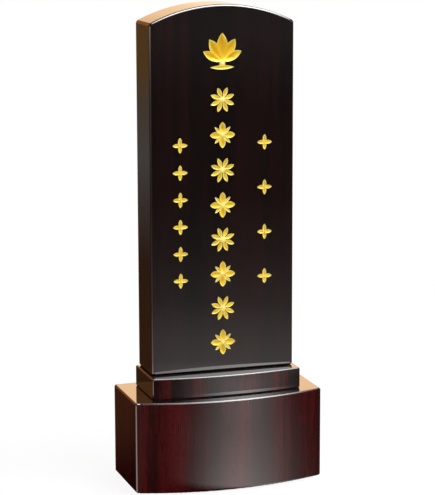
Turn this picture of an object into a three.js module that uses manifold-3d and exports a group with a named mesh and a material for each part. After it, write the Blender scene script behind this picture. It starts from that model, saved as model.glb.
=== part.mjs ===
// A memorial tablet: an arched rosewood board with gold-filled carving, which lifts out of a stepped base.
// Lengths are in millimetres. X runs to the right, Y to the back and Z up. The carved face looks along -Y.
// The origin is the middle of the footprint, on the surface that the tablet stands on.

import * as THREE from "three";
import { mergeVertices } from "three/addons/utils/BufferGeometryUtils.js";
import Module from "manifold-3d";

const wasm = await Module();
wasm.setup();

// Tablet board
const TABLET_WIDTH = 55.1;
const TABLET_THICKNESS = 18.2;
const TABLET_HEIGHT = 136;
const TABLET_ARCH_RISE = 6.5;
const TABLET_SHOULDER_RADIUS = 1.4;
const TABLET_FOOT_RADIUS = 1;
const TABLET_CHAMFER = 0.6;

// Tenon on the board's foot, and the mortise that takes it
const TENON_WIDTH = 30;
const TENON_THICKNESS = 9;
const TENON_LENGTH = 22;
const TENON_LEAD_CHAMFER = 0.8;
const TENON_ROOT = 3;
const MORTISE_CLEARANCE = 0.2;
const MORTISE_SPARE_DEPTH = 1;

// Step under the board. Margins are what shows beyond the board, the front one at the step's front corners.
const STEP_SIDE_MARGIN = 1.2;
const STEP_FRONT_MARGIN = 4.9;
const STEP_BACK_MARGIN = 0.3;
const STEP_BOW = 2.6;
const STEP_THICKNESS = 7.9;
const STEP_EDGE_RADIUS = 0.6;
const STEP_CHAMFER = 0.4;

// Base block under the step, with margins measured the same way
const BASE_SIDE_MARGIN = 7.45;
const BASE_FRONT_MARGIN = 2.6;
const BASE_BACK_MARGIN = 4.2;
const BASE_BOW = 6.1;
const BASE_HEIGHT = 34.1;
const BASE_EDGE_RADIUS = 1;
const BASE_CHAMFER = 0.5;

// Dowels between the step and the base block
const DOWEL_DIAMETER = 5;
const DOWEL_LENGTH = 14;
const DOWEL_COVER = 3.2;
const DOWEL_CLEARANCE = 0.15;
const DOWEL_CHAMFER = 0.5;

// Felt under the base block
const FELT_THICKNESS = 0.8;
const FELT_MARGIN = 1.6;

// Carved marks: a crest at the head, one column of flowers below it and a column of blossoms at each side
const CREST_SIZE = 13.4;
const CREST_BELOW_CROWN = 17;
const CREST_TO_FLOWERS = 17.6;
const LAST_FLOWER_ABOVE_FOOT = 10.9;
const FLOWER_COUNT = 8;
const FLOWER_GAP = 3.4;
const BLOSSOM_GAP = 4.4;
const BLOSSOM_EDGE_INSET = 11.3;
const BLOSSOM_START_ROWS = 1.25;
const BLOSSOM_SPAN_ROWS = 3.88;
const LEFT_BLOSSOM_COUNT = 6;
const RIGHT_BLOSSOM_COUNT = 4;

// Section of the carving: V grooves in a gold fill, which sits in a flat-bottomed recess
const GROOVE_SLOPE = 0.6;
const GROOVE_LAND = 0.1;
const GROOVE_LIFT = 0.3;
const GOLD_FLOOR = 0.3;
const GOLD_SINK = 0.05;
const GOLD_CLEARANCE = 0.05;

// Fineness of the curves
const BOW_STEPS = 24;
const CORNER_STEPS = 4;
const LEAF_STEPS = 4;
const ROUND_STEPS = 12;

// How far a cutter runs past the surface that it opens
const CUT_PAST = 1;

// What follows from the sizes above
const stepWidth = TABLET_WIDTH + 2 * STEP_SIDE_MARGIN;
const stepSideDepth = TABLET_THICKNESS + STEP_FRONT_MARGIN + STEP_BACK_MARGIN;
const baseWidth = stepWidth + 2 * BASE_SIDE_MARGIN;
const baseSideDepth = stepSideDepth + BASE_FRONT_MARGIN + BASE_BACK_MARGIN;

const baseBackY = (baseSideDepth + BASE_BOW) / 2;
const stepBackY = baseBackY - BASE_BACK_MARGIN;
const tabletBackY = stepBackY - STEP_BACK_MARGIN;
const tabletFrontY = tabletBackY - TABLET_THICKNESS;
const tenonY = (tabletFrontY + tabletBackY) / 2;

const baseZ = FELT_THICKNESS;
const stepZ = baseZ + BASE_HEIGHT;
const tabletZ = stepZ + STEP_THICKNESS;

const dowelX = (TENON_WIDTH / 2 + stepWidth / 2) / 2;
const dowelTopZ = tabletZ - DOWEL_COVER;

const crestZ = TABLET_HEIGHT - CREST_BELOW_CROWN;
const firstFlowerZ = crestZ - CREST_TO_FLOWERS;
const flowerPitch = (firstFlowerZ - LAST_FLOWER_ABOVE_FOOT) / (FLOWER_COUNT - 1);
const flowerSize = flowerPitch - FLOWER_GAP;
const blossomX = TABLET_WIDTH / 2 - BLOSSOM_EDGE_INSET;
const firstBlossomZ = firstFlowerZ - BLOSSOM_START_ROWS * flowerPitch;
const blossomSpan = BLOSSOM_SPAN_ROWS * flowerPitch;
const blossomSize = blossomSpan / (LEFT_BLOSSOM_COUNT - 1) - BLOSSOM_GAP;

const rosewood = new THREE.MeshStandardMaterial({ color: 0x24110d, roughness: 0.12, metalness: 0 });
const rosewoodBase = new THREE.MeshStandardMaterial({ color: 0x32100e, roughness: 0.12, metalness: 0 });
const gold = new THREE.MeshStandardMaterial({ color: 0xf2c230, roughness: 0.35, metalness: 1 });
const beech = new THREE.MeshStandardMaterial({ color: 0xc9a272, roughness: 0.7, metalness: 0 });
const felt = new THREE.MeshStandardMaterial({ color: 0x151313, roughness: 0.95, metalness: 0 });

// Closed solid of a closed geometry.
function solidOf(geometry) {
  const bare = geometry.clone();
  bare.deleteAttribute("normal");
  bare.deleteAttribute("uv");
  const merged = mergeVertices(bare);
  const vertProperties = merged.attributes.position.array;
  const triVerts = new Uint32Array(merged.index.array);
  return new wasm.Manifold(new wasm.Mesh({ numProp: 3, vertProperties, triVerts }));
}

function geometryOf(solid) {
  const { vertProperties, triVerts } = solid.getMesh();
  const geometry = new THREE.BufferGeometry();
  geometry.setAttribute("position", new THREE.BufferAttribute(vertProperties, 3));
  geometry.setIndex(new THREE.BufferAttribute(triVerts, 1));
  geometry.computeVertexNormals();
  return geometry;
}

function join(solids) {
  return solids.reduce((whole, solid) => whole.add(solid));
}

function piece(name, solid, material) {
  const mesh = new THREE.Mesh(geometryOf(solid), material);
  mesh.name = name;
  return mesh;
}

function arc(x, y, radius, from, to, steps) {
  return Array.from({ length: steps + 1 }, (_, i) => {
    const angle = from + ((to - from) * i) / steps;
    return new THREE.Vector2(x + radius * Math.cos(angle), y + radius * Math.sin(angle));
  });
}

// Outline with straight sides and one bowed end: the foot is at y = 0 and the crown at y = length + rise.
function bowedOutline(width, length, rise, shoulderRadius, footRadius) {
  const half = width / 2;
  const bowRadius = (half * half + rise * rise) / (2 * rise);
  const bowY = length + rise - bowRadius;
  const shoulderX = half - shoulderRadius;
  const shoulderY = bowY + Math.sqrt((bowRadius - shoulderRadius) ** 2 - shoulderX ** 2);
  const turn = Math.atan2(shoulderY - bowY, shoulderX);
  const footX = half - footRadius;
  return [
    ...arc(footX, footRadius, footRadius, -Math.PI / 2, 0, CORNER_STEPS),
    ...arc(shoulderX, shoulderY, shoulderRadius, 0, turn, CORNER_STEPS),
    ...arc(0, bowY, bowRadius, turn, Math.PI - turn, BOW_STEPS).slice(1, -1),
    ...arc(-shoulderX, shoulderY, shoulderRadius, Math.PI - turn, Math.PI, CORNER_STEPS),
    ...arc(-footX, footRadius, footRadius, Math.PI, 1.5 * Math.PI, CORNER_STEPS),
  ];
}

// The same outline lying down as a plan, its straight back along y = 0 and its bowed end towards the front.
function plan(outline) {
  return outline.map((point) => new THREE.Vector2(point.x, -point.y));
}

function rectangle(width, depth) {
  const [x, y] = [width / 2, depth / 2];
  return [[-x, -y], [x, -y], [x, y], [-x, y]].map((point) => new THREE.Vector2(...point));
}

// Slab from z = 0 to its thickness, with the edges of both faces cut back by the chamfer.
function slab(outline, thickness, chamfer = 0) {
  const geometry = new THREE.ExtrudeGeometry(new THREE.Shape(outline), {
    depth: thickness - 2 * chamfer,
    bevelEnabled: chamfer > 0,
    bevelThickness: chamfer,
    bevelSize: chamfer,
    bevelOffset: -chamfer,
    bevelSegments: 1,
  });
  return solidOf(geometry.translate(0, 0, chamfer));
}

// Round peg along Z from z = 0, with chamfered ends.
function peg(diameter, length, chamfer = 0) {
  const radius = diameter / 2;
  const profile = [
    [0, 0],
    [radius - chamfer, 0],
    ...(chamfer > 0 ? [[radius, chamfer], [radius, length - chamfer]] : []),
    [radius - chamfer, length],
    [0, length],
  ].map((point) => new THREE.Vector2(...point));
  const geometry = new THREE.LatheGeometry(profile, ROUND_STEPS);
  return solidOf(geometry.rotateX(Math.PI / 2));
}

// Closed solid through a row of rings with equally many points.
function loft(rings) {
  const sides = rings[0].length;
  const index = [];
  for (let ring = 0; ring + 1 < rings.length; ring += 1) {
    for (let side = 0; side < sides; side += 1) {
      const a = ring * sides + side;
      const b = ring * sides + ((side + 1) % sides);
      index.push(a, b, a + sides, b, b + sides, a + sides);
    }
  }
  const last = (rings.length - 1) * sides;
  for (let side = 1; side + 1 < sides; side += 1) {
    index.push(0, side + 1, side, last, last + side, last + side + 1);
  }
  const geometry = new THREE.BufferGeometry().setFromPoints(rings.flat());
  geometry.setIndex(index);
  return solidOf(geometry);
}

// A leaf is bounded by two arcs that meet at its ends. It points along its angle, and its start and end are
// distances from the root along that line. Growing it moves both arcs outwards by the same amount.
function leafForm(leaf, grow) {
  const reach = (leaf.end - leaf.start) / 2;
  const radius = (reach * reach + leaf.half * leaf.half) / (2 * leaf.half);
  const offset = radius - leaf.half;
  const grown = radius + grow;
  const sweep = Math.acos(offset / grown);
  return Array.from({ length: LEAF_STEPS + 1 }, (_, i) => {
    const angle = sweep * ((2 * i) / LEAF_STEPS - 1);
    return { along: grown * Math.sin(angle), half: Math.max(grown * Math.cos(angle) - offset, 0) };
  });
}

function leafPoint(leaf, along, across) {
  const distance = (leaf.start + leaf.end) / 2 + along;
  const [cos, sin] = [Math.cos(leaf.angle), Math.sin(leaf.angle)];
  return [leaf.x + distance * cos - across * sin, leaf.y + distance * sin + across * cos];
}

function leafPrism(leaf, grow, floor, top) {
  const form = leafForm(leaf, grow);
  const right = form.slice(0, -1).map(({ along, half }) => leafPoint(leaf, along, -half));
  const left = form.slice(1).reverse().map(({ along, half }) => leafPoint(leaf, along, half));
  const outline = [...right, ...left].map((point) => new THREE.Vector2(...point));
  return slab(outline, top - floor).translate(0, 0, floor);
}

// V groove along the leaf, as deep as its half width there times the slope, below the level given.
function leafGroove(leaf, level) {
  const spread = GROOVE_LIFT / GROOVE_SLOPE;
  const rings = leafForm(leaf, -GROOVE_LAND).map(({ along, half }) => [
    new THREE.Vector3(...leafPoint(leaf, along, -half - spread), level + GROOVE_LIFT),
    new THREE.Vector3(...leafPoint(leaf, along, 0), level - GROOVE_SLOPE * half),
    new THREE.Vector3(...leafPoint(leaf, along, half + spread), level + GROOVE_LIFT),
  ]);
  return loft(rings);
}

function beadPrism(bead, grow, floor, top) {
  return peg(2 * (bead.radius + grow), top - floor).translate(bead.x, bead.y, floor);
}

// Angles in degrees, spread evenly over a full turn.
function spread(count, first = 0) {
  return Array.from({ length: count }, (_, i) => first + (360 * i) / count);
}

// Leaves round a root, pointing along the angles given in degrees.
function leaves(angles, start, end, half, x = 0, y = 0) {
  return angles.map((degrees) => ({ angle: THREE.MathUtils.degToRad(degrees), start, end, half, x, y }));
}

// The four designs, for a mark of size 1. X and Y run across and up the face.
const lotusCrest = {
  leaves: [
    ...leaves([90], 0, 0.78, 0.165, 0, -0.28),
    ...leaves([59, 121], 0.02, 0.71, 0.145, 0, -0.28),
    ...leaves([28, 152], 0.04, 0.61, 0.115, 0, -0.28),
    ...leaves([0], -0.34, 0.34, 0.06, 0, -0.43),
  ],
  beads: [{ x: 0, y: -0.32, radius: 0.1 }],
};

const lotusRosette = {
  leaves: leaves(spread(8, 22.5), 0.09, 0.5, 0.084),
  beads: [{ x: 0, y: 0, radius: 0.14 }],
};

const flowerLozenge = {
  leaves: [...leaves(spread(4), 0.06, 0.5, 0.125), ...leaves(spread(4, 45), 0.08, 0.44, 0.06)],
  beads: [{ x: 0, y: 0, radius: 0.11 }],
};

const blossom = {
  leaves: leaves(spread(4), -0.05, 0.5, 0.13),
  beads: [],
};

function scaled(lengths, size) {
  return Object.fromEntries(Object.entries(lengths).map(([key, value]) => [key, value * size]));
}

function sized(design, size) {
  return {
    leaves: design.leaves.map(({ angle, ...lengths }) => ({ angle, ...scaled(lengths, size) })),
    beads: design.beads.map((bead) => scaled(bead, size)),
  };
}

// Depth of the recess below the face: the deepest groove, and the gold under it.
function recessDepth(mark) {
  const widest = Math.max(...mark.leaves.map((leaf) => leaf.half));
  return GOLD_SINK + GROOVE_SLOPE * (widest - GROOVE_LAND) + GOLD_FLOOR;
}

// Turns a solid made with Z out of the face into the upright face's own directions.
function stand(solid) {
  return solid.rotate([90, 0, 0]);
}

function recess(mark) {
  const floor = -recessDepth(mark);
  return stand(
    join([
      ...mark.leaves.map((leaf) => leafPrism(leaf, GOLD_CLEARANCE, floor, CUT_PAST)),
      ...mark.beads.map((bead) => beadPrism(bead, GOLD_CLEARANCE, floor, CUT_PAST)),
    ]),
  );
}

function goldFill(mark) {
  const floor = -recessDepth(mark);
  const petals = join(mark.leaves.map((leaf) => leafPrism(leaf, 0, floor, -GOLD_SINK)));
  const grooves = join(mark.leaves.map((leaf) => leafGroove(leaf, -GOLD_SINK)));
  const beads = mark.beads.map((bead) => beadPrism(bead, 0, floor, -GOLD_SINK));
  return stand(join([petals.subtract(grooves), ...beads]));
}

// Every mark with its name, its place on the face and its design at full size.
function column(name, count, x, topZ, span, size, designs) {
  return Array.from({ length: count }, (_, i) => ({
    name: `${name}_${i + 1}`,
    x,
    z: topZ - (span * i) / (count - 1),
    mark: sized(designs[i % designs.length], size),
  }));
}

const flowerSpan = flowerPitch * (FLOWER_COUNT - 1);
const flowerDesigns = [lotusRosette, flowerLozenge];
const blossoms = [firstBlossomZ, blossomSpan, blossomSize, [blossom]];
const marks = [
  { name: "gold_crest", x: 0, z: crestZ, mark: sized(lotusCrest, CREST_SIZE) },
  ...column("gold_flower", FLOWER_COUNT, 0, firstFlowerZ, flowerSpan, flowerSize, flowerDesigns),
  ...column("gold_left_blossom", LEFT_BLOSSOM_COUNT, -blossomX, ...blossoms),
  ...column("gold_right_blossom", RIGHT_BLOSSOM_COUNT, blossomX, ...blossoms),
];

// The board stands on z = 0 with its carved face at y = 0, and its tenon hangs below.
function tabletBoard() {
  const sideHeight = TABLET_HEIGHT - TABLET_ARCH_RISE;
  const outline = bowedOutline(
    TABLET_WIDTH, sideHeight, TABLET_ARCH_RISE, TABLET_SHOULDER_RADIUS, TABLET_FOOT_RADIUS,
  );
  const board = stand(slab(outline, TABLET_THICKNESS, TABLET_CHAMFER)).translate(0, TABLET_THICKNESS, 0);
  const tenon = slab(rectangle(TENON_WIDTH, TENON_THICKNESS), TENON_LENGTH + TENON_ROOT, TENON_LEAD_CHAMFER);
  const recesses = join(marks.map(({ x, z, mark }) => recess(mark).translate(x, 0, z)));
  return board.add(tenon.translate(0, TABLET_THICKNESS / 2, -TENON_LENGTH)).subtract(recesses);
}

// Room for the tenon, from the depth given below the board's foot up past that foot.
function mortise(depth) {
  const outline = rectangle(TENON_WIDTH + 2 * MORTISE_CLEARANCE, TENON_THICKNESS + 2 * MORTISE_CLEARANCE);
  return slab(outline, depth + CUT_PAST).translate(0, tenonY, tabletZ - depth);
}

// Holes for the dowels, which run on past the dowel's ends by the clearance.
function dowelHoles() {
  const hole = peg(DOWEL_DIAMETER + 2 * DOWEL_CLEARANCE, DOWEL_LENGTH + 2 * DOWEL_CLEARANCE);
  const bottom = dowelTopZ - DOWEL_LENGTH - DOWEL_CLEARANCE;
  return join([-dowelX, dowelX].map((x) => hole.translate(x, tenonY, bottom)));
}

function plinthStep() {
  const outline = bowedOutline(stepWidth, stepSideDepth, STEP_BOW, STEP_EDGE_RADIUS, STEP_EDGE_RADIUS);
  const block = slab(plan(outline), STEP_THICKNESS, STEP_CHAMFER).translate(0, stepBackY, stepZ);
  return block.subtract(mortise(STEP_THICKNESS + CUT_PAST)).subtract(dowelHoles());
}

function baseBlock() {
  const outline = bowedOutline(baseWidth, baseSideDepth, BASE_BOW, BASE_EDGE_RADIUS, BASE_EDGE_RADIUS);
  const block = slab(plan(outline), BASE_HEIGHT, BASE_CHAMFER).translate(0, baseBackY, baseZ);
  return block.subtract(mortise(TENON_LENGTH + MORTISE_SPARE_DEPTH)).subtract(dowelHoles());
}

function feltPad() {
  const inset = 2 * FELT_MARGIN;
  const outline = bowedOutline(
    baseWidth - inset, baseSideDepth - inset, BASE_BOW, BASE_EDGE_RADIUS, BASE_EDGE_RADIUS,
  );
  return slab(plan(outline), FELT_THICKNESS).translate(0, baseBackY - FELT_MARGIN, 0);
}

function dowel(x) {
  return peg(DOWEL_DIAMETER, DOWEL_LENGTH, DOWEL_CHAMFER).translate(x, tenonY, dowelTopZ - DOWEL_LENGTH);
}

const tablet = new THREE.Group();
tablet.add(piece("tablet_board", tabletBoard(), rosewood));
for (const { name, x, z, mark } of marks) {
  const fill = piece(name, goldFill(mark), gold);
  fill.position.set(x, 0, z);
  tablet.add(fill);
}
tablet.position.set(0, tabletFrontY, tabletZ);

const base = new THREE.Group();
base.add(piece("plinth_step", plinthStep(), rosewood));
base.add(piece("base_block", baseBlock(), rosewoodBase));
base.add(piece("dowel_left", dowel(-dowelX), beech));
base.add(piece("dowel_right", dowel(dowelX), beech));
base.add(piece("felt_pad", feltPad(), felt));

const memorialTablet = new THREE.Group();
memorialTablet.add(tablet, base);

export default memorialTablet;
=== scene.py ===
# Finish, stage and light for a glossy rosewood memorial tablet with gold-filled carving.
# Lengths are in metres. X runs to the right, Y to the back and Z up, and the carved face looks along -Y.

import math
from collections import namedtuple

import bmesh
import bpy
from mathutils import Matrix, Vector, noise

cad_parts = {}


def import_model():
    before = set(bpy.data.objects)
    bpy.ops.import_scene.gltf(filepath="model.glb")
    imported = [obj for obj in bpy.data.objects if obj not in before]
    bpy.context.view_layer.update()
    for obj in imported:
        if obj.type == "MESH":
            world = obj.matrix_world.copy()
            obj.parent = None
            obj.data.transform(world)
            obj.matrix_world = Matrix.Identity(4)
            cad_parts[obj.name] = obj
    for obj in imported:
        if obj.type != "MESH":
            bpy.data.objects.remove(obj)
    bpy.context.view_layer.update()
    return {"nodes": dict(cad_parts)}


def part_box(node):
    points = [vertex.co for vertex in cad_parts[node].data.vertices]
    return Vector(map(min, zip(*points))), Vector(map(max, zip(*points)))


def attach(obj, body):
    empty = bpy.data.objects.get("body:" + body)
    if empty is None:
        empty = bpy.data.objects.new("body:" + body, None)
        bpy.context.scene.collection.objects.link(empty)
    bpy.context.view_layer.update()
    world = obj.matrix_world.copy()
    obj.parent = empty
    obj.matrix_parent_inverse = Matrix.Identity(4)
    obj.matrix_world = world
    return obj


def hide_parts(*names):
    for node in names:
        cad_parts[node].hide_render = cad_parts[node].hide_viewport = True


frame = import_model()

MM = 0.001

# Bowed outlines and the chamfers of the three lacquered blocks
TABLET_ARCH_RISE = 6.5 * MM
TABLET_SHOULDER_RADIUS = 1.4 * MM
TABLET_FOOT_RADIUS = 1 * MM
TABLET_CHAMFER = 0.6 * MM
STEP_BOW = 2.6 * MM
STEP_EDGE_RADIUS = 0.6 * MM
STEP_CHAMFER = 0.4 * MM
BASE_BOW = 6.1 * MM
BASE_EDGE_RADIUS = 1 * MM
BASE_CHAMFER = 0.5 * MM

# The lacquer rounds both corners of a chamfer, the most where the board's sides meet it. A band round each
# flat face keeps that face's shading flat.
CHAMFER_SLOPE = math.pi / 4
LACQUER_ROUNDING = 0.3 * MM
BOARD_SIDE_ROUNDING = 0.75 * MM
FACE_BAND = 1 * MM

# Joinery
TENON_WIDTH = 30 * MM
TENON_THICKNESS = 9 * MM
TENON_LEAD_CHAMFER = 0.8 * MM
TENON_ROOT = 3 * MM
MORTISE_CLEARANCE = 0.2 * MM
MORTISE_SPARE_DEPTH = 1 * MM
DOWEL_CLEARANCE = 0.15 * MM
CUT_PAST = 1 * MM

# Section of the carving
GOLD_SINK = 0.05 * MM
GOLD_CLEARANCE = 0.05 * MM
GROOVE_SLOPE = 0.6
GROOVE_LAND = 0.1 * MM
GROOVE_LIFT = 0.3 * MM
GROOVE_ROUNDING = 0.12
BEAD_DOME = 0.3 * MM
# Depth below the face at which the gold's painted shade is fullest
GOLD_SHADE_DEPTH = 1 * MM

# Marks in the three columns of the carving
MAIN_MARKS = 8
LEFT_MARKS = 6
RIGHT_MARKS = 4

# Felt
FELT_VOXEL = 0.35 * MM
FELT_NAP = 0.06 * MM
FELT_NAP_SCALE = 900
FELT_NAP_SEED = 7
FELT_BACK = 0.1 * MM

# Planks that the step and the base block were cut from, which pick their grain
STEP_PLANK = 38.6
BASE_PLANK = 19.4

# Fineness of the curves. The flat top of a domed bead takes up a part of a step.
BOW_STEPS = 64
CORNER_STEPS = 8
ROUNDING_STEPS = 4
LEAF_STEPS = 16
GROOVE_STEPS = 10
ROUND_STEPS = 40
DOME_STEPS = 6
DOME_TOP = 0.5

# Points nearer than this are one.
WELD = 0.0005 * MM
# Edges that turn by more than this stay sharp.
SHARP_ANGLE = math.radians(35)
# Faces whose normal rises by more than this get painted shade: the board's darker lacquer.
SHADED_TOP_RISE = 0.75
# Sides of the middle on which the corners of a rectangle lie, in their order round it
CORNERS = ((-1, -1), (1, -1), (1, 1), (-1, 1))

# Materials of a lacquered piece, in their order
LACQUER_SLOT = 0
BARE_SLOT = 1
# The last slot holds the darker lacquer that is painted on top faces as shade.
SHADED_TOP_SLOT = 2

# Camera, fitted to the outline of the object in the photograph. The image's height and the focal length are
# in pixels, and the sensor's width is in millimetres.
IMAGE_HEIGHT = 495
FOCAL_PIXELS = 1987.1
SENSOR = 36
CAMERA_AZIMUTH = math.radians(-17.915)
CAMERA_ELEVATION = math.radians(10.855)
CAMERA_ROLL = math.radians(-0.159)
CAMERA_DISTANCE = 0.7376
CAMERA_TARGET = Vector((-0.5, 0.34, 88.65)) * MM

_, step_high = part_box("plinth_step")
board_low, board_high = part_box("tablet_board")
tenon_y = (board_low.y + board_high.y) / 2

BowedForm = namedtuple("BowedForm", "width length rise shoulder foot")
Leaf = namedtuple("Leaf", "angle start end half x y")
Bead = namedtuple("Bead", "radius x y")
Design = namedtuple("Design", "leaves beads")
Streak = namedtuple("Streak", "width length detail distortion", defaults=(0,))
Relief = namedtuple("Relief", "strength distance")
Panel = namedtuple("Panel", "width height place target turn", defaults=(0,))
Glow = namedtuple("Glow", "width height level")


def new_piece(name, mesh):
    data = bpy.data.meshes.new(name)
    bmesh.ops.remove_doubles(mesh, verts=mesh.verts, dist=WELD)
    bmesh.ops.recalc_face_normals(mesh, faces=mesh.faces)
    mesh.to_mesh(data)
    mesh.free()
    piece = bpy.data.objects.new(name, data)
    bpy.context.scene.collection.objects.link(piece)
    return piece


def loft(name, rings):
    """Closed solid through rings of equally many points, with its first and last ring filled."""
    mesh = bmesh.new()
    made = [[mesh.verts.new(point) for point in ring] for ring in rings]
    for low, high in zip(made, made[1:]):
        for i in range(len(low)):
            j = (i + 1) % len(low)
            mesh.faces.new((low[i], low[j], high[j], high[i]))
    mesh.faces.new(made[0])
    mesh.faces.new(made[-1])
    return new_piece(name, mesh)


def combine(piece, operation, tools):
    """Applies a boolean with each tool in turn, and removes the tools."""
    for tool in tools:
        step = piece.modifiers.new(operation, "BOOLEAN")
        step.operation = operation
        step.solver = "MANIFOLD"
        step.object = tool
    depsgraph = bpy.context.evaluated_depsgraph_get()
    made = bpy.data.meshes.new_from_object(piece.evaluated_get(depsgraph))
    piece.modifiers.clear()
    piece.data = made
    for tool in tools:
        bpy.data.objects.remove(tool)
    return piece


def join(pieces):
    return combine(pieces[0], "UNION", pieces[1:])


def soften(data):
    data.shade_smooth()
    data.set_sharp_from_angle(angle=SHARP_ANGLE)


def smooth(piece):
    """Smooth shading across the small faces of the rounded edges, with large faces left flat."""
    soften(piece.data)
    weighted = piece.modifiers.new("weighted_normals", "WEIGHTED_NORMAL")
    weighted.keep_sharp = True
    return piece


def arc(x, y, radius, start, end, steps):
    angles = [start + (end - start) * i / steps for i in range(steps + 1)]
    return [(x + radius * math.cos(a), y + radius * math.sin(a)) for a in angles]


def circle(x, y, radius):
    return arc(x, y, radius, 0, 2 * math.pi, ROUND_STEPS)[:-1]


def bowed_ring(form, inset):
    """Outline with straight sides and one bowed end, moved inwards by the inset. Its foot is at y = 0."""
    bow_radius = ((form.width / 2) ** 2 + form.rise**2) / (2 * form.rise)
    bow_y = form.length + form.rise - bow_radius
    half = form.width / 2 - inset
    foot = max(form.foot - inset, 0)
    foot_x = half - foot
    foot_y = inset + foot
    shoulder = max(form.shoulder - inset, 0)
    shoulder_x = half - shoulder
    shoulder_y = bow_y + math.sqrt((bow_radius - inset - shoulder) ** 2 - shoulder_x**2)
    turn = math.atan2(shoulder_y - bow_y, shoulder_x)
    return [
        *arc(foot_x, foot_y, foot, -math.pi / 2, 0, CORNER_STEPS),
        *arc(shoulder_x, shoulder_y, shoulder, 0, turn, CORNER_STEPS),
        *arc(0, bow_y, bow_radius - inset, turn, math.pi - turn, BOW_STEPS)[1:-1],
        *arc(-shoulder_x, shoulder_y, shoulder, math.pi - turn, math.pi, CORNER_STEPS),
        *arc(-foot_x, foot_y, foot, math.pi, 1.5 * math.pi, CORNER_STEPS),
    ]


def corner_rounding(chamfer, radius):
    """Inset and depth of the points from the flat face to the chamfer."""
    start = chamfer + radius * math.tan(CHAMFER_SLOPE / 2)
    turns = [CHAMFER_SLOPE * i / ROUNDING_STEPS for i in range(ROUNDING_STEPS + 1)]
    return [(start - radius * math.sin(turn), radius * (1 - math.cos(turn))) for turn in turns]


def edge_profile(chamfer, side_rounding):
    """Inset and depth of each ring, from the flat face over the chamfer to the side."""
    over_face = corner_rounding(chamfer, LACQUER_ROUNDING)
    over_side = [(depth, inset) for inset, depth in reversed(corner_rounding(chamfer, side_rounding))]
    return [(chamfer + FACE_BAND, 0), *over_face, *over_side]


def lacquered_slab(name, form, thickness, chamfer, side_rounding, place):
    near = edge_profile(chamfer, side_rounding)
    far = [(inset, thickness - depth) for inset, depth in reversed(near)]
    rings = [[place(x, y, depth) for x, y in bowed_ring(form, inset)] for inset, depth in near + far]
    return loft(name, rings)


def on_face(x, y, depth):
    """From the board's own outline to the upright board."""
    return (x, board_low.y + depth, step_high.z + y)


def on_plan(back_y, bottom_z):
    """From an outline lying down, its bowed end towards the front, to its place on the base."""
    return lambda x, y, height: (x, back_y - y, bottom_z + height)


def block(name, width, depth, low_z, high_z, chamfer=0.0):
    """Upright rectangular block round the tenon's axis, with its lower edges cut back by the chamfer."""
    heights = [(low_z, chamfer), (low_z + chamfer, 0), (high_z, 0)]
    rings = []
    for z, inset in heights if chamfer else heights[1:]:
        x = width / 2 - inset
        y = depth / 2 - inset
        rings.append([(sx * x, tenon_y + sy * y, z) for sx, sy in CORNERS])
    return loft(name, rings)


def round_block(name, x, y, radius, low_z, high_z):
    ring = circle(x, y, radius)
    return loft(name, [[(px, py, z) for px, py in ring] for z in (low_z, high_z)])


# The carved marks: leaves bounded by two arcs, and beads. A design's lengths are shares of its size.
def leaves(degrees, start, end, half, x=0.0, y=0.0):
    return [Leaf(math.radians(degree), start, end, half, x, y) for degree in degrees]


def spread(count, first=0.0):
    return [first + 360 * i / count for i in range(count)]


LOTUS_CREST = Design(
    leaves([90], 0, 0.78, 0.165, 0, -0.28)
    + leaves([59, 121], 0.02, 0.71, 0.145, 0, -0.28)
    + leaves([28, 152], 0.04, 0.61, 0.115, 0, -0.28)
    + leaves([0], -0.34, 0.34, 0.06, 0, -0.43),
    [Bead(0.1, 0, -0.32)],
)
LOTUS_ROSETTE = Design(leaves(spread(8, 22.5), 0.09, 0.5, 0.084), [Bead(0.14, 0, 0)])
FLOWER_LOZENGE = Design(
    leaves(spread(4), 0.06, 0.5, 0.125) + leaves(spread(4, 45), 0.08, 0.44, 0.06),
    [Bead(0.11, 0, 0)],
)
BLOSSOM = Design(leaves(spread(4), -0.05, 0.5, 0.13), [])


def sized(design, size):
    return Design(
        [Leaf(leaf.angle, *(length * size for length in leaf[1:])) for leaf in design.leaves],
        [Bead(*(length * size for length in bead)) for bead in design.beads],
    )


def leaf_form(leaf, grow):
    """Half widths along the leaf, from its middle, once both of its arcs have moved outwards by grow."""
    reach = (leaf.end - leaf.start) / 2
    radius = (reach**2 + leaf.half**2) / (2 * leaf.half)
    offset = radius - leaf.half
    grown = radius + grow
    sweep = math.acos(offset / grown)
    angles = [sweep * (2 * i / LEAF_STEPS - 1) for i in range(LEAF_STEPS + 1)]
    return [(grown * math.sin(a), max(grown * math.cos(a) - offset, 0)) for a in angles]


def leaf_point(leaf, along, across):
    distance = (leaf.start + leaf.end) / 2 + along
    cos, sin = math.cos(leaf.angle), math.sin(leaf.angle)
    return (leaf.x + distance * cos - across * sin, leaf.y + distance * sin + across * cos)


def leaf_outline(leaf, grow=0.0):
    form = leaf_form(leaf, grow)
    right = [leaf_point(leaf, along, -half) for along, half in form[:-1]]
    left = [leaf_point(leaf, along, half) for along, half in reversed(form[1:])]
    return right + left


def carved(x, y, lift):
    """From a mark's own plane, with lift out of the face, to upright."""
    return (x, -lift, y)


def leaf_prism(leaf, grow, floor, top):
    outline = leaf_outline(leaf, grow)
    return loft("leaf", [[carved(x, y, lift) for x, y in outline] for lift in (floor, top)])


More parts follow.
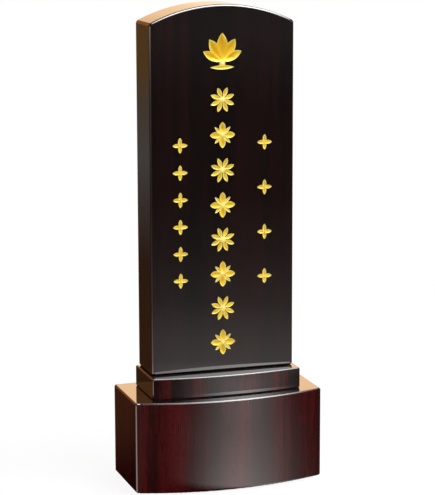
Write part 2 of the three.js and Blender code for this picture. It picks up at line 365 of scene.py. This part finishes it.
def leaf_groove(leaf):
    """V groove along the leaf, rounded at its bottom."""
    flare = GROOVE_LIFT / GROOVE_SLOPE
    shares = [2 * i / GROOVE_STEPS - 1 for i in range(GROOVE_STEPS + 1)]
    rim = math.hypot(1, GROOVE_ROUNDING)
    depths = [(rim - math.hypot(share, GROOVE_ROUNDING)) / (rim - GROOVE_ROUNDING) for share in shares]
    rings = []
    for along, half in leaf_form(leaf, -GROOVE_LAND):
        section = [(-half - flare, GROOVE_LIFT)]
        section += [(share * half, -GROOVE_SLOPE * half * depth) for share, depth in zip(shares, depths)]
        section += [(half + flare, GROOVE_LIFT)]
        rings.append([carved(*leaf_point(leaf, along, across), lift - GOLD_SINK) for across, lift in section])
    return loft("groove", rings)


def bead_prism(bead, grow, floor, top):
    ring = circle(bead.x, bead.y, bead.radius + grow)
    return loft("bead", [[carved(x, y, lift) for x, y in ring] for lift in (floor, top)])


def bead_dome(bead, floor):
    """Round bead with a domed top, which ends as far below the face as the leaves do."""
    section = [(bead.radius, floor)]
    for i in range(DOME_STEPS + 1):
        angle = math.pi / 2 * i / (DOME_STEPS + DOME_TOP)
        section.append((bead.radius * math.cos(angle), -GOLD_SINK - BEAD_DOME * (1 - math.sin(angle))))
    rings = [[carved(x, y, lift) for x, y in circle(bead.x, bead.y, radius)] for radius, lift in section]
    return loft("bead", rings)


def recess_solid(mark, floor):
    solids = [leaf_prism(leaf, GOLD_CLEARANCE, floor, CUT_PAST) for leaf in mark.leaves]
    solids += [bead_prism(bead, GOLD_CLEARANCE, floor, CUT_PAST) for bead in mark.beads]
    return join(solids)


def gold_solid(mark, floor):
    petals = join([leaf_prism(leaf, 0, floor, -GOLD_SINK) for leaf in mark.leaves])
    combine(petals, "DIFFERENCE", [leaf_groove(leaf) for leaf in mark.leaves])
    return join([petals, *(bead_dome(bead, floor) for bead in mark.beads)])


def reach_of(design):
    """Lowest and highest point of a design of size 1."""
    heights = [y for leaf in design.leaves for _, y in leaf_outline(leaf)]
    return min(heights), max(heights)


def numbered(name, count):
    return [f"{name}_{i + 1}" for i in range(count)]


def gold_marks():
    """Every gold fill, shaped once for each design and size, and the solids that cut their recesses."""
    flowers = numbered("gold_flower", MAIN_MARKS)
    blossoms = numbered("gold_left_blossom", LEFT_MARKS) + numbered("gold_right_blossom", RIGHT_MARKS)
    groups = [
        (LOTUS_CREST, ["gold_crest"]),
        (LOTUS_ROSETTE, flowers[::2]),
        (FLOWER_LOZENGE, flowers[1::2]),
        (BLOSSOM, blossoms),
    ]
    fills = []
    recesses = []
    for design, nodes in groups:
        low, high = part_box(nodes[0])
        lowest, highest = reach_of(design)
        size = (high.z - low.z) / (highest - lowest)
        mark = sized(design, size)
        floor = board_low.y - high.y
        fill = gold_solid(mark, floor)
        recess = recess_solid(mark, floor)
        for node in nodes:
            low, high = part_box(node)
            place = Vector(((low.x + high.x) / 2, board_low.y, low.z - lowest * size))
            copy = bpy.data.objects.new(f"{node}_carving", fill.data)
            cutter = bpy.data.objects.new("recess", recess.data)
            for made in (copy, cutter):
                made.location = place
                bpy.context.scene.collection.objects.link(made)
            fills.append((node, copy))
            recesses.append(cutter)
        soften(fill.data)
        for made in (fill, recess):
            bpy.data.objects.remove(made)
    bpy.context.view_layer.update()
    return fills, recesses


def tablet_board(recesses):
    sides = board_high.z - step_high.z - TABLET_ARCH_RISE
    width = board_high.x - board_low.x
    form = BowedForm(width, sides, TABLET_ARCH_RISE, TABLET_SHOULDER_RADIUS, TABLET_FOOT_RADIUS)
    thickness = board_high.y - board_low.y
    board = lacquered_slab("lacquered_board", form, thickness, TABLET_CHAMFER, BOARD_SIDE_ROUNDING, on_face)
    root_z = step_high.z + TENON_ROOT
    tenon = block("tenon", TENON_WIDTH, TENON_THICKNESS, board_low.z, root_z, TENON_LEAD_CHAMFER)
    combine(board, "UNION", [tenon])
    return smooth(combine(board, "DIFFERENCE", recesses))


def joinery_cutters():
    """The mortise through the step into the base block, and the two dowel holes."""
    width = TENON_WIDTH + 2 * MORTISE_CLEARANCE
    depth = TENON_THICKNESS + 2 * MORTISE_CLEARANCE
    bottom = board_low.z - MORTISE_SPARE_DEPTH
    cutters = [block("mortise", width, depth, bottom, step_high.z + CUT_PAST)]
    for node in ("dowel_left", "dowel_right"):
        low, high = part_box(node)
        radius = (high.x - low.x) / 2 + DOWEL_CLEARANCE
        x = (low.x + high.x) / 2
        cutters.append(
            round_block("hole", x, tenon_y, radius, low.z - DOWEL_CLEARANCE, high.z + DOWEL_CLEARANCE)
        )
    return cutters


def bowed_block(name, low, high, bow, edge_radius, chamfer):
    form = BowedForm(high.x - low.x, high.y - low.y - bow, bow, edge_radius, edge_radius)
    made = lacquered_slab(name, form, high.z - low.z, chamfer, LACQUER_ROUNDING, on_plan(high.y, low.z))
    return smooth(combine(made, "DIFFERENCE", joinery_cutters()))


def felt_sheet():
    """Felt with an uneven napped surface, flat where the base block is glued to it."""
    low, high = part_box("felt_pad")
    form = BowedForm(high.x - low.x, high.y - low.y - BASE_BOW, BASE_BOW, BASE_EDGE_RADIUS, BASE_EDGE_RADIUS)
    place = on_plan(high.y, low.z)
    top = high.z - low.z
    rings = [[place(x, y, height) for x, y in bowed_ring(form, FELT_NAP)] for height in (FELT_NAP, top)]
    felt = loft("felt_sheet", rings)
    remesh = felt.modifiers.new("remesh", "REMESH")
    remesh.mode = "VOXEL"
    remesh.voxel_size = FELT_VOXEL
    depsgraph = bpy.context.evaluated_depsgraph_get()
    felt.data = bpy.data.meshes.new_from_object(felt.evaluated_get(depsgraph))
    felt.modifiers.clear()
    noise.seed_set(FELT_NAP_SEED)
    for vertex in felt.data.vertices:
        if vertex.co.z < high.z - FELT_BACK:
            vertex.co += noise.noise_vector(vertex.co * FELT_NAP_SCALE) * FELT_NAP
            vertex.co.z = max(vertex.co.z, low.z)
    felt.data.shade_smooth()
    return felt


# Colour sockets of the mix node. Its sockets for numbers and vectors have the same names.
MIX_FIRST = 6
MIX_SECOND = 7
MIX_RESULT = 2


def add_node(tree, kind, **inputs):
    """Adds a node with its sockets set to values or links, by their names."""
    made = tree.nodes.new(kind)
    for name, value in inputs.items():
        connect(tree, made.inputs[name.replace("_", " ")], value)
    return made


def connect(tree, socket, value):
    if isinstance(value, bpy.types.NodeSocket):
        tree.links.new(value, socket)
    else:
        socket.default_value = value


def operate(tree, kind, operation, values):
    made = tree.nodes.new(kind)
    made.operation = operation
    for socket, value in zip(made.inputs, values):
        connect(tree, socket, value)
    return made.outputs


def calculate(tree, operation, *values):
    return operate(tree, "ShaderNodeMath", operation, values)["Value"]


def vector_math(tree, operation, *vectors):
    return operate(tree, "ShaderNodeVectorMath", operation, vectors)


def xyz(tree, vector):
    return add_node(tree, "ShaderNodeSeparateXYZ", Vector=vector).outputs


def object_place(tree):
    return tree.nodes.new("ShaderNodeTexCoord").outputs["Object"]


def world_place(tree):
    return tree.nodes.new("ShaderNodeNewGeometry").outputs["Position"]


def noise_at(tree, place, **inputs):
    return add_node(tree, "ShaderNodeTexNoise", Vector=place, **inputs).outputs[0]


def mix_colors(tree, share, first, second, blend="MIX"):
    made = tree.nodes.new("ShaderNodeMix")
    made.data_type = "RGBA"
    made.blend_type = blend
    connect(tree, made.inputs[0], share)
    connect(tree, made.inputs[MIX_FIRST], first)
    connect(tree, made.inputs[MIX_SECOND], second)
    return made.outputs[MIX_RESULT]


def rgba(color):
    return (*color, 1.0)


def grey(level):
    return (level,) * 3


def ramp(tree, value, stops):
    made = tree.nodes.new("ShaderNodeValToRGB")
    elements = made.color_ramp.elements
    for index, (position, color) in enumerate(stops):
        element = elements[index] if index < len(elements) else elements.new(position)
        element.position = position
        element.color = rgba(color)
    tree.links.new(value, made.inputs[0])
    return made.outputs[0]


def new_material(name):
    material = bpy.data.materials.new(name)
    material.use_nodes = True
    tree = material.node_tree
    shader = next(n for n in tree.nodes if n.type == "BSDF_PRINCIPLED")
    return material, tree, shader


# Rosewood. Each stop of a ramp is a level of the noise, and the colour or roughness there.
ROSEWOOD_BANDS = Streak(9 * MM, 180 * MM, 2)
ROSEWOOD_LINES = Streak(3.2 * MM, 60 * MM, 3, 0.8)
ROSEWOOD_FIBRES = Streak(0.35 * MM, 14 * MM, 2)
ROSEWOOD_PORES = Streak(0.22 * MM, 3.5 * MM, 1)
BAND_SHARE = 0.55
LINE_SHARE = 0.45
GRAIN_LEVELS = (0.38, 0.5, 0.62)
FIBRE_SHADES = ((0.3, grey(0.8)), (0.7, (1.15, 1.1, 1.1)))
PORE_SHADES = ((0.6, grey(1)), (0.7, grey(0.35)))
LACQUERED_ROUGHNESS = ((0.3, grey(0.38)), (0.7, grey(0.5)))
LACQUERED_RELIEF = Relief(0.3, 0.02 * MM)
COAT_ROUGHNESS = 0.03
COAT_IOR = 1.5
BARE_ROUGHNESS = ((0.3, grey(0.6)), (0.7, grey(0.78)))
BARE_RELIEF = Relief(0.5, 0.05 * MM)

# Colours of its dark, middle and red streaks in each piece
BOARD_COLORS = ((0.0060, 0.0040, 0.0038), (0.0090, 0.0048, 0.0045), (0.0150, 0.0056, 0.0050))
STEP_COLORS = ((0.0070, 0.0040, 0.0039), (0.0130, 0.0044, 0.0042), (0.0560, 0.0062, 0.0057))
BASE_COLORS = ((0.0190, 0.0042, 0.0042), (0.0400, 0.0046, 0.0044), (0.0680, 0.0066, 0.0066))
BARE_COLORS = ((0.045, 0.014, 0.008), (0.085, 0.024, 0.013), (0.14, 0.036, 0.018))

# Gold. Its colours run from a pale painted highlight near the face to painted shade, deeper in colour, in the
# grooves.
GOLD_CLOUD_SCALE = 900
GOLD_CLOUD_DETAIL = 4
GOLD_CLOUD_SHARE = 0.3
GOLD_GRAIN_SCALE = 6000
GOLD_GRAIN_DETAIL = 3
GOLD_HIGHLIGHT_AND_SHADE_COLORS = ((0.2, (0.95, 0.84, 0.3)), (0.34, (0.95, 0.68, 0.03)), (1.0, (0.9, 0.54, 0.012)))
GOLD_ROUGHNESS = ((0.3, grey(0.36)), (0.7, grey(0.48)))
GOLD_RELIEF = Relief(0.25, 0.02 * MM)
GOLD_METALLIC = 0.3

# Beech of the dowels
BEECH_LINES = Streak(0.8 * MM, 20 * MM, 4)
BEECH_FLECKS = Streak(0.25 * MM, 1.6 * MM, 1)
BEECH_COLORS = ((0.3, (0.56, 0.36, 0.2)), (0.7, (0.72, 0.52, 0.33)))
FLECK_SHADES = ((0.62, grey(1)), (0.7, (0.6, 0.5, 0.42)))
BEECH_ROUGHNESS = 0.65

# Black felt and its hairs
HAIR_SCALE = 3500
HAIR_DETAIL = 4
HAIR_DISTORTION = 1.5
HAIR_COLORS = ((0.35, (0.012, 0.011, 0.012)), (0.7, (0.05, 0.046, 0.05)))
HAIR_RELIEF = Relief(0.6, 0.1 * MM)
FELT_ROUGHNESS = 0.95
FELT_SHEEN = 0.4
FELT_SHEEN_ROUGHNESS = 0.5


def streaks(tree, streak, plank=0.0):
    """Noise drawn out along the grain, which runs up. Each plank has a grain of its own."""
    place = object_place(tree)
    scale = (1 / streak.width, 1 / streak.width, 1 / streak.length)
    stretched = add_node(tree, "ShaderNodeMapping", Vector=place, Location=(0, plank, 0), Scale=scale)
    return noise_at(tree, stretched.outputs[0], Scale=1, Detail=streak.detail, Distortion=streak.distortion)


def roughen(tree, shader, level, stops):
    connect(tree, shader.inputs["Roughness"], ramp(tree, level, stops))


def emboss(tree, shader, height, relief):
    bump = add_node(tree, "ShaderNodeBump", Height=height, Strength=relief.strength, Distance=relief.distance)
    connect(tree, shader.inputs["Normal"], bump.outputs[0])


def grain_color(tree, colors, plank=0.0):
    """Colour of rosewood: near-black and red streaks, fine fibres and dark pores."""
    bands = streaks(tree, ROSEWOOD_BANDS, plank)
    lines = streaks(tree, ROSEWOOD_LINES, plank)
    fibres = streaks(tree, ROSEWOOD_FIBRES)
    pores = streaks(tree, ROSEWOOD_PORES)
    banded = calculate(tree, "MULTIPLY", bands, BAND_SHARE)
    lined = calculate(tree, "MULTIPLY", lines, LINE_SHARE)
    color = ramp(tree, calculate(tree, "ADD", banded, lined), zip(GRAIN_LEVELS, colors))
    color = mix_colors(tree, 1.0, color, ramp(tree, fibres, FIBRE_SHADES), "MULTIPLY")
    color = mix_colors(tree, 1.0, color, ramp(tree, pores, PORE_SHADES), "MULTIPLY")
    return color, pores, fibres


def lacquered_wood(name, colors, plank=0.0):
    material, tree, shader = new_material(name)
    color, pores, fibres = grain_color(tree, colors, plank)
    connect(tree, shader.inputs["Base Color"], color)
    roughen(tree, shader, fibres, LACQUERED_ROUGHNESS)
    emboss(tree, shader, pores, LACQUERED_RELIEF)
    shader.inputs["Specular IOR Level"].default_value = 0.0
    shader.inputs["Coat Weight"].default_value = 1.0
    shader.inputs["Coat Roughness"].default_value = COAT_ROUGHNESS
    shader.inputs["Coat IOR"].default_value = COAT_IOR
    return material


def bare_wood(name, colors):
    """The same wood where the lacquer stops, in the joint."""
    material, tree, shader = new_material(name)
    color, _, fibres = grain_color(tree, colors)
    connect(tree, shader.inputs["Base Color"], color)
    roughen(tree, shader, fibres, BARE_ROUGHNESS)
    emboss(tree, shader, fibres, BARE_RELIEF)
    return material


def gold_fill():
    """Bright gold with a fine grain in its relief, with a pale painted highlight at the rims and painted
    shade, deeper in colour, in the grooves.
    """
    material, tree, shader = new_material("gold_fill")
    place = object_place(tree)
    cloud = noise_at(tree, place, Scale=GOLD_CLOUD_SCALE, Detail=GOLD_CLOUD_DETAIL)
    grain = noise_at(tree, place, Scale=GOLD_GRAIN_SCALE, Detail=GOLD_GRAIN_DETAIL)
    # Painted highlight near the face and painted shade deeper in the grooves, by the depth
    depth = calculate(tree, "DIVIDE", xyz(tree, place)["Y"], GOLD_SHADE_DEPTH)
    clouded = calculate(tree, "MULTIPLY", cloud, GOLD_CLOUD_SHARE)
    color = ramp(tree, calculate(tree, "ADD", depth, clouded), GOLD_HIGHLIGHT_AND_SHADE_COLORS)
    connect(tree, shader.inputs["Base Color"], color)
    roughen(tree, shader, grain, GOLD_ROUGHNESS)
    emboss(tree, shader, grain, GOLD_RELIEF)
    shader.inputs["Metallic"].default_value = GOLD_METALLIC
    return material


def beech():
    material, tree, shader = new_material("beech")
    lines = streaks(tree, BEECH_LINES)
    flecks = streaks(tree, BEECH_FLECKS)
    color = ramp(tree, lines, BEECH_COLORS)
    color = mix_colors(tree, 1.0, color, ramp(tree, flecks, FLECK_SHADES), "MULTIPLY")
    connect(tree, shader.inputs["Base Color"], color)
    shader.inputs["Roughness"].default_value = BEECH_ROUGHNESS
    return material


def black_felt():
    material, tree, shader = new_material("black_felt")
    place = object_place(tree)
    hairs = noise_at(tree, place, Scale=HAIR_SCALE, Detail=HAIR_DETAIL, Distortion=HAIR_DISTORTION)
    connect(tree, shader.inputs["Base Color"], ramp(tree, hairs, HAIR_COLORS))
    shader.inputs["Roughness"].default_value = FELT_ROUGHNESS
    shader.inputs["Sheen Weight"].default_value = FELT_SHEEN
    shader.inputs["Sheen Roughness"].default_value = FELT_SHEEN_ROUGHNESS
    emboss(tree, shader, hairs, HAIR_RELIEF)
    return material


def finish(piece, *materials):
    piece.data.materials.clear()
    for material in materials:
        piece.data.materials.append(material)


def bare_joint(piece, is_bare):
    """Gives bare wood to each face whose middle is in the joint, and lacquer to the rest."""
    for face in piece.data.polygons:
        face.material_index = BARE_SLOT if is_bare(face.center) else LACQUER_SLOT


def paint_shade_on_tops(piece):
    """Painted shade on the lacquered top faces, which take the board's darker, less red lacquer."""
    for face in piece.data.polygons:
        if face.normal.z > SHADED_TOP_RISE and face.material_index == LACQUER_SLOT:
            face.material_index = SHADED_TOP_SLOT


def in_mortise(point):
    half_width = TENON_WIDTH / 2 + 2 * MORTISE_CLEARANCE
    half_depth = TENON_THICKNESS / 2 + 2 * MORTISE_CLEARANCE
    return abs(point.x) < half_width and abs(point.y - tenon_y) < half_depth


def build_object():
    board_lacquer = lacquered_wood("rosewood_lacquer", BOARD_COLORS)
    step_lacquer = lacquered_wood("rosewood_step_lacquer", STEP_COLORS, STEP_PLANK)
    base_lacquer = lacquered_wood("rosewood_base_lacquer", BASE_COLORS, BASE_PLANK)
    bare = bare_wood("rosewood_bare", BARE_COLORS)
    gold = gold_fill()

    fills, recesses = gold_marks()
    for node, fill in fills:
        finish(fill, gold)
        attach(fill, "tablet")
        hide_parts(node)

    board = tablet_board(recesses)
    finish(board, board_lacquer, bare)
    bare_joint(board, lambda point: point.z < step_high.z + WELD)
    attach(board, "tablet")
    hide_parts("tablet_board")

    blocks = [
        ("bowed_step", "plinth_step", STEP_BOW, STEP_EDGE_RADIUS, STEP_CHAMFER, step_lacquer, "rosewood"),
        ("bowed_base", "base_block", BASE_BOW, BASE_EDGE_RADIUS, BASE_CHAMFER, base_lacquer, "rosewood_base"),
    ]
    for name, node, bow, radius, chamfer, lacquer, slot in blocks:
        low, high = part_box(node)
        made = bowed_block(name, low, high, bow, radius, chamfer)
        finish(made, lacquer, bare, board_lacquer)
        bare_joint(made, lambda point, top=high.z: in_mortise(point) and point.z < top - WELD)
        # Painted shade: the top faces take the board's darker lacquer.
        paint_shade_on_tops(made)
        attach(made, "base")
        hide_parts(node)

    felt = felt_sheet()
    finish(felt, black_felt())
    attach(felt, "base")
    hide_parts("felt_pad")
    low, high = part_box("felt_pad")

    dowel_finish = beech()
    for node in ("dowel_left", "dowel_right"):
        finish(frame["nodes"][node], dowel_finish)


# Stage
FLOOR_SIZE = 12
FLOOR_BELOW = 0.05 * MM
FLOOR_ALBEDO = 0.2
FLOOR_SEEN_ALBEDO = 0.95
SHADOW_SHARE = 0.11
SHADOW_NEAR = 0.12
SHADOW_FAR = 0.45

# Light on the floor, as the lacquer mirrors it: a beam to the front, and a sector to the left and to the
# back. Each stop is a distance, or a share of the reach, and the level, width or colour there.
BEAM_TINT = (1, 0.98, 0.96)
BEAM_START = Vector((1.3, -16.5, 0)) * MM
BEAM_AZIMUTH = math.radians(22.8)
BEAM_LEVELS = (
    (0, 0), (0.003, 3.3), (0.04, 2.5), (0.08, 1.9), (0.15, 1.9), (0.17, 1.0), (0.21, 0.8), (0.3, 0.35),
    (0.44, 0.14), (0.65, 0.03), (1.2, 0.03), (2, 0.2),
)
BEAM_WIDTHS = ((0, 0.015), (0.08, 0.04), (0.15, 0.05), (0.18, 0.095), (0.3, 0.13), (2, 0.48))
LEFT_TINT = (1, 0.74, 0.68)
LEFT_START = Vector((-36, -12, 0)) * MM
LEFT_AZIMUTH = math.radians(-75)
LEFT_SPREAD = math.radians(28)
LEFT_LEVELS = ((0, 7), (0.14, 6), (0.18, 2.5), (0.3, 0.8), (0.6, 0.4), (1.2, 0.8), (1.6, 1.5), (2.1, 3.5))
BACK_AZIMUTH = math.radians(-162)
BACK_SPREAD = math.radians(30)
BACK_REACH = 2.5
BACK_LEVEL = 0.3
BACK_COLORS = (
    (0.1, (0.34, 0.13, 0.05)),
    (0.175, (0.28, 0.12, 0.06)),
    (0.34, (0.67, 0.6, 0.57)),
    (0.47, (0.67, 0.5, 0.36)),
    (0.63, (0.93, 0.48, 0.14)),
)

# Panels and softboxes: width, height, place, the point that each looks at, and its turn round that line
OVERHEAD_TURN = math.radians(14)
WARM_PANEL = Panel(3.2, 1.32, (1.7, 3, 0.66), (1.7, 0, 0.66))
BROWN_PANEL = Panel(0.8, 0.58, (-0.5, 1.5, 0.41), (-0.5, 0, 0.41))
FRONT_PANEL = Panel(1.2, 0.6, (0.47, -1.16, 0.38), (0, 0, 0.06))
BASE_PANEL = Panel(1.6, 0.9, (0.46, -0.295, 1.2), (0.46, -0.295, 0), OVERHEAD_TURN)
ARCH_SOFTBOX = Panel(1.3, 0.24, (0.35, -0.05, 1.1), (0.35, -0.05, 0), OVERHEAD_TURN)
FILL_SOFTBOX = Panel(0.5, 0.5, (-0.75, -1.0, 0.8), (0, 0, 0.09))
ARCH_POWER = 20
FILL_POWER = 2

# The warm panel's colours from its foot to its top, and the part of it that is brighter. Each pair of limits
# is where that part begins and where it is full.
WARM_COLORS = (
    (0.0, (0.33, 0.33, 0.33)),
    (0.17, (0.37, 0.345, 0.3)),
    (0.295, (0.44, 0.365, 0.265)),
    (0.42, (0.53, 0.39, 0.255)),
    (0.54, (0.57, 0.385, 0.235)),
    (0.69, (0.655, 0.425, 0.23)),
    (0.79, (0.63, 0.39, 0.215)),
)
WARM_LEVEL = 3.2
BRIGHT_TINT = (1.0, 0.64, 0.364)
BRIGHT_X = (0.69, 0.75)
BRIGHT_Z = (0.79, 0.83)
BROWN_TINT = (0.8, 0.32, 0.09)

# Distances from a soft panel's middle at which its light has faded to about a third, and the level there
FRONT_GLOW = Glow(0.25, 0.13, 22)
BASE_GLOW = Glow(0.34, 0.186, 24)

WORLD_LEVEL = 0.6
WORLD_GLOSS = 0.12
WORLD_GLOSS_TINT = (1, 0.95, 0.9)


def mix_shaders(tree, share, first, second):
    made = tree.nodes.new("ShaderNodeMixShader")
    connect(tree, made.inputs[0], share)
    tree.links.new(first, made.inputs[1])
    tree.links.new(second, made.inputs[2])
    return made.outputs[0]


def emission(tree, color, strength):
    return add_node(tree, "ShaderNodeEmission", Color=color, Strength=strength).outputs[0]


def floor_point(tree, start):
    return vector_math(tree, "SUBTRACT", world_place(tree), start)["Vector"]


def dot(tree, vector, other):
    return vector_math(tree, "DOT_PRODUCT", vector, other)["Value"]


def length_of(tree, vector):
    return vector_math(tree, "LENGTH", vector)["Value"]


def heading(azimuth):
    """Unit vector over the floor. The azimuth runs from the front towards the right."""
    return Vector((math.sin(azimuth), -math.cos(azimuth), 0))


def profile(tree, distance, stops):
    reach = stops[-1][0]
    top = max(level for _, level in stops)
    share = calculate(tree, "DIVIDE", distance, reach)
    levels = ramp(tree, share, [(place / reach, grey(level / top)) for place, level in stops])
    return calculate(tree, "MULTIPLY", levels, top)


def fade(tree, squared):
    """Bell curve of a distance's square."""
    return calculate(tree, "EXPONENT", calculate(tree, "MULTIPLY", squared, -1))


def beam_light(tree):
    """Beam that widens and fades with the distance."""
    place = floor_point(tree, BEAM_START)
    along = dot(tree, place, heading(BEAM_AZIMUTH))
    across = dot(tree, place, heading(BEAM_AZIMUTH + math.pi / 2))
    off_axis = calculate(tree, "DIVIDE", across, profile(tree, along, BEAM_WIDTHS))
    narrowed = fade(tree, calculate(tree, "MULTIPLY", off_axis, off_axis))
    level = calculate(tree, "MULTIPLY", narrowed, profile(tree, along, BEAM_LEVELS))
    return emission(tree, rgba(BEAM_TINT), level)


def in_sector(tree, start, azimuth, half_angle):
    """Share of light round the heading as seen from the start, and the distance from there."""
    place = floor_point(tree, start)
    distance = length_of(tree, place)
    turned = calculate(tree, "DIVIDE", dot(tree, place, heading(azimuth)), distance)
    off_axis = calculate(tree, "DIVIDE", calculate(tree, "SUBTRACT", turned, 1), 1 - math.cos(half_angle))
    return calculate(tree, "EXPONENT", off_axis), distance


def left_light(tree):
    share, distance = in_sector(tree, LEFT_START, LEFT_AZIMUTH, LEFT_SPREAD)
    level = calculate(tree, "MULTIPLY", share, profile(tree, distance, LEFT_LEVELS))
    return emission(tree, rgba(LEFT_TINT), level)


def back_light(tree):
    share, distance = in_sector(tree, (0, 0, 0), BACK_AZIMUTH, BACK_SPREAD)
    color = ramp(tree, calculate(tree, "DIVIDE", distance, BACK_REACH), BACK_COLORS)
    return emission(tree, color, calculate(tree, "MULTIPLY", share, BACK_LEVEL))


def add_shaders(tree, first, second):
    made = tree.nodes.new("ShaderNodeAddShader")
    tree.links.new(first, made.inputs[0])
    tree.links.new(second, made.inputs[1])
    return made.outputs[0]


def diffuse(tree, albedo):
    return add_node(tree, "ShaderNodeBsdfDiffuse", Color=rgba(grey(albedo))).outputs[0]


def floor_material():
    """White to the camera, with the shadow kept. Glossy surfaces see the light that lies on it."""
    material = bpy.data.materials.new("floor")
    material.use_nodes = True
    material.cycles.emission_sampling = "NONE"
    tree = material.node_tree
    tree.nodes.clear()
    rays = tree.nodes.new("ShaderNodeLightPath").outputs
    plain = diffuse(tree, FLOOR_ALBEDO)
    seen_plain = diffuse(tree, FLOOR_SEEN_ALBEDO)
    white = emission(tree, rgba(grey(1)), 1.0)
    near = add_node(
        tree,
        "ShaderNodeMapRange",
        Value=length_of(tree, world_place(tree)),
        From_Min=SHADOW_FAR,
        From_Max=SHADOW_NEAR,
        To_Min=0,
        To_Max=SHADOW_SHARE,
    )
    near.interpolation_type = "SMOOTHSTEP"
    seen = mix_shaders(tree, near.outputs[0], white, seen_plain)
    mirrored = add_shaders(tree, add_shaders(tree, beam_light(tree), left_light(tree)), back_light(tree))
    shown = mix_shaders(tree, rays["Is Camera Ray"], plain, seen)
    surface = mix_shaders(tree, rays["Is Glossy Ray"], shown, mirrored)
    output = tree.nodes.new("ShaderNodeOutputMaterial")
    tree.links.new(surface, output.inputs[0])
    return material


def plane(name, width, height, material, place):
    mesh = bmesh.new()
    mesh.faces.new([mesh.verts.new((sx * width / 2, sy * height / 2, 0)) for sx, sy in CORNERS])
    data = bpy.data.meshes.new(name)
    mesh.to_mesh(data)
    mesh.free()
    data.materials.append(material)
    made = bpy.data.objects.new(name, data)
    made.matrix_world = place
    bpy.context.scene.collection.objects.link(made)
    return made


def looking(panel):
    """Placement of a lamp or plane whose -Z axis looks from its place at the target."""
    place = Vector(panel.place)
    look = (Vector(panel.target) - place).to_track_quat("-Z", "Y")
    return Matrix.LocRotScale(place, look, None) @ Matrix.Rotation(panel.turn, 4, "Z")


def lamp(name, panel, power):
    data = bpy.data.lights.new(name, "AREA")
    data.shape = "ELLIPSE"
    data.size = panel.width
    data.size_y = panel.height
    data.energy = power
    made = bpy.data.objects.new(name, data)
    made.matrix_world = looking(panel)
    made.visible_camera = False
    bpy.context.scene.collection.objects.link(made)
    return made


def glowing_plane(name, panel, shade):
    """Plane that the camera doesn't see. shade makes its colour and strength in its node tree."""
    material = bpy.data.materials.new(name)
    material.use_nodes = True
    tree = material.node_tree
    tree.nodes.clear()
    output = tree.nodes.new("ShaderNodeOutputMaterial")
    tree.links.new(emission(tree, *shade(tree)), output.inputs[0])
    made = plane(name, panel.width, panel.height, material, looking(panel))
    made.visible_camera = False
    made.visible_shadow = False


def between(tree, value, low, high):
    return add_node(tree, "ShaderNodeMapRange", Value=value, From_Min=low, From_Max=high).outputs[0]


def warm_light(tree):
    """Pale at the foot, warm above as the arch mirrors it, and brighter where the base's top mirrors it."""
    place = xyz(tree, world_place(tree))
    warm = ramp(tree, calculate(tree, "DIVIDE", place["Z"], WARM_PANEL.height), WARM_COLORS)
    beside = between(tree, place["X"], *BRIGHT_X)
    above = between(tree, place["Z"], *BRIGHT_Z)
    share = calculate(tree, "MULTIPLY", beside, above)
    return mix_colors(tree, share, warm, rgba(BRIGHT_TINT)), WARM_LEVEL


def soft_light(tree, glow):
    """Fades from the middle of the plane to its rim."""
    place = xyz(tree, object_place(tree))
    across = calculate(tree, "DIVIDE", place["X"], glow.width)
    up = calculate(tree, "DIVIDE", place["Y"], glow.height)
    squares = [calculate(tree, "MULTIPLY", share, share) for share in (across, up)]
    faded = fade(tree, calculate(tree, "ADD", *squares))
    return rgba(grey(1)), calculate(tree, "MULTIPLY", faded, glow.level)


def background(tree, color, strength):
    return add_node(tree, "ShaderNodeBackground", Color=rgba(color), Strength=strength).outputs[0]


def world():
    made = bpy.data.worlds.new("studio")
    bpy.context.scene.world = made
    made.use_nodes = True
    tree = made.node_tree
    tree.nodes.clear()
    rays = tree.nodes.new("ShaderNodeLightPath").outputs
    lit = background(tree, grey(1), WORLD_LEVEL)
    gloss = background(tree, WORLD_GLOSS_TINT, WORLD_GLOSS)
    white = background(tree, grey(1), 1.0)
    shown = mix_shaders(tree, rays["Is Glossy Ray"], lit, gloss)
    surface = mix_shaders(tree, rays["Is Camera Ray"], shown, white)
    output = tree.nodes.new("ShaderNodeOutputWorld")
    tree.links.new(surface, output.inputs[0])


def camera():
    data = bpy.data.cameras.new("camera")
    data.sensor_width = SENSOR
    data.lens = FOCAL_PIXELS * SENSOR / IMAGE_HEIGHT
    back = Vector(
        (
            math.sin(CAMERA_AZIMUTH) * math.cos(CAMERA_ELEVATION),
            -math.cos(CAMERA_AZIMUTH) * math.cos(CAMERA_ELEVATION),
            math.sin(CAMERA_ELEVATION),
        )
    )
    level = Vector((0, 0, 1)).cross(back).normalized()
    upright = back.cross(level)
    right = level * math.cos(CAMERA_ROLL) + upright * math.sin(CAMERA_ROLL)
    up = upright * math.cos(CAMERA_ROLL) - level * math.sin(CAMERA_ROLL)
    made = bpy.data.objects.new("camera", data)
    turn = Matrix((right, up, back)).transposed().to_4x4()
    made.matrix_world = Matrix.Translation(CAMERA_TARGET + back * CAMERA_DISTANCE) @ turn
    bpy.context.scene.collection.objects.link(made)
    bpy.context.scene.camera = made


def stage():
    floor_place = Matrix.Translation((0, 0, -FLOOR_BELOW))
    plane("floor", FLOOR_SIZE, FLOOR_SIZE, floor_material(), floor_place)
    glowing_plane("warm_panel", WARM_PANEL, warm_light)
    glowing_plane("brown_panel", BROWN_PANEL, lambda _: (rgba(BROWN_TINT), 1.0))
    glowing_plane("front_panel", FRONT_PANEL, lambda tree: soft_light(tree, FRONT_GLOW))
    # The lacquer mirrors this softbox, and it adds nothing to the level at which colours are lit.
    softbox = lamp("arch_softbox", ARCH_SOFTBOX, ARCH_POWER)
    softbox.visible_diffuse = False
    glowing_plane("base_panel", BASE_PANEL, lambda tree: soft_light(tree, BASE_GLOW))
    lamp("fill_softbox", FILL_SOFTBOX, FILL_POWER)
    world()


camera()
build_object()
stage()
bpy.context.scene.view_settings.view_transform = "Standard"
